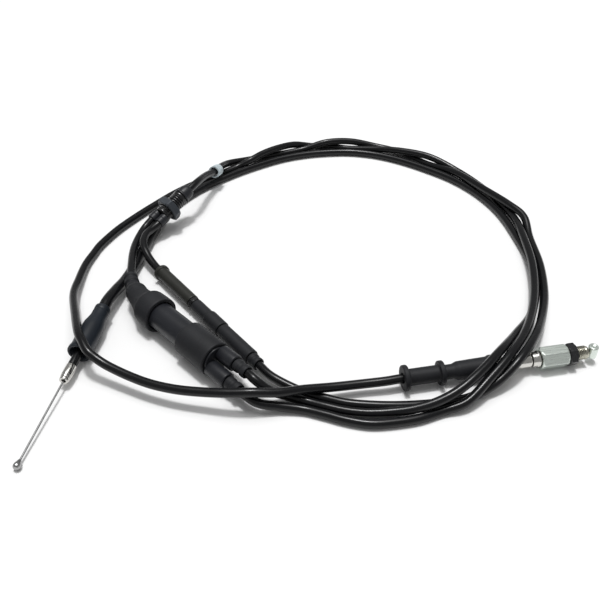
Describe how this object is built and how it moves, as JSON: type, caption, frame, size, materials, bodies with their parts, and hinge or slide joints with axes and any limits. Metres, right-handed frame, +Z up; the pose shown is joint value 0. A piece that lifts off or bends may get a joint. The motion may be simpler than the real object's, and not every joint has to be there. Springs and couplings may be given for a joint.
{
  "type": "throttle cable assembly",
  "caption": "Coiled throttle cable with twist-grip end, carburettor end, junction box, in-line adjuster and threaded bulkhead bushing joined by plastic-covered conduits.",
  "frame": {"origin": "middle of the bounding box in plan, on the floor the coil lies on", "axes": "+Z up from the floor; +Y away from the bare carburettor wire, across the loop; +X towards the twist-grip end"},
  "size_m": [0.3231, 0.3413, 0.027],
  "materials": {
    "conduit": "semi-gloss black PVC cover",
    "olive_sleeve": "matt olive-black sleeve",
    "rubber": "matt black rubber",
    "blue_rubber": "matt blue-black rubber",
    "black_plastic": "satin black moulded plastic",
    "black_steel": "black coated steel",
    "nut_steel": "dark blue-grey coated steel",
    "nickel": "bright nickel plate",
    "zinc": "pale zinc plate",
    "stub_steel": "dull yellow-grey plated thread",
    "wire_steel": "bare steel strand",
    "pale_band": "pale grey-white tape"
  },
  "bodies": {
    "cable": {"grip_conduit": "conduit", "carb_conduit": "conduit", "carb_conduit_sleeve": "conduit", "adjuster_conduit": "conduit", "junction_link_conduit": "conduit", "adjuster_link_conduit": "conduit", "cable_band": "pale_band", "spool_grommet": "rubber", "grip_boot": "rubber", "guide_tube": "nickel", "guide_ferrule": "nickel", "threaded_stub": "stub_steel", "carb_liner": "conduit", "carb_ferrule": "nickel", "junction_body": "black_plastic", "junction_sleeve": "rubber", "junction_cap": "rubber", "junction_end_plug": "black_plastic", "outlet_seal_upper": "rubber", "outlet_seal_lower": "rubber", "inline_sleeve": "olive_sleeve", "inline_barrel": "black_steel", "inline_collar": "rubber", "inline_boot": "rubber", "inline_end_ring": "rubber", "bulkhead_body": "black_steel", "bulkhead_cap": "black_plastic", "link_boss_left": "black_plastic", "link_boss_right": "black_plastic"},
    "grip_pull": {"grip_inner_wire": "wire_steel", "grip_barrel_nipple": "zinc"},
    "carb_pull": {"carb_inner_wire": "wire_steel", "carb_nipple": "zinc"},
    "junction_pull": {"junction_slider": "black_plastic", "junction_wire_upper": "wire_steel", "junction_wire_lower": "wire_steel"},
    "hex_sleeve": {"adjuster_sleeve": "zinc"},
    "hex_locknut": {"adjuster_locknut": "black_steel"},
    "panel_nut": {"bulkhead_nut": "nut_steel"},
    "inline_nut": {"inline_locknut": "black_steel"},
    "carb_boot_skin": {"carb_boot": "blue_rubber"}
  },
  "joints": [
    {"name": "grip_wire_pull", "type": "slide", "parent": "cable", "child": "grip_pull", "axis": [0.9812, 0.193, 0], "range_m": [0, 0.02]},
    {"name": "carb_wire_pull", "type": "slide", "parent": "cable", "child": "carb_pull", "axis": [0.1837, 0.9813, 0.0574], "range_m": [0, 0.02]},
    {"name": "junction_slide", "type": "slide", "parent": "cable", "child": "junction_pull", "axis": [-0.695, 0.719, 0], "range_m": [0, 0.02]},
    {"name": "adjuster_sleeve_turn", "type": "hinge", "parent": "cable", "child": "hex_sleeve", "pos_m": [0.13421, -0.09353, 0.0077], "axis": [0.9812, 0.193, 0], "continuous": true},
    {"name": "adjuster_locknut_turn", "type": "hinge", "parent": "cable", "child": "hex_locknut", "pos_m": [0.14559, -0.09129, 0.0077], "axis": [0.9812, 0.193, 0], "continuous": true},
    {"name": "bulkhead_nut_turn", "type": "hinge", "parent": "cable", "child": "panel_nut", "pos_m": [-0.10643, 0.05127, 0.01631], "axis": [0.6298, 0.7088, 0.3179], "continuous": true},
    {"name": "inline_locknut_turn", "type": "hinge", "parent": "cable", "child": "inline_nut", "pos_m": [-0.07884, -0.04342, 0.0062], "axis": [0.6181, -0.7861, 0], "continuous": true},
    {"name": "carb_boot_slide", "type": "slide", "parent": "cable", "child": "carb_boot_skin", "axis": [0.1837, 0.9813, 0.0574], "range_m": [0, 0.006]}
  ],
  "couplings": [
    {"joint": "carb_wire_pull", "follows": "grip_wire_pull", "ratio": 1},
    {"joint": "junction_slide", "follows": "grip_wire_pull", "ratio": 1}
  ]
}
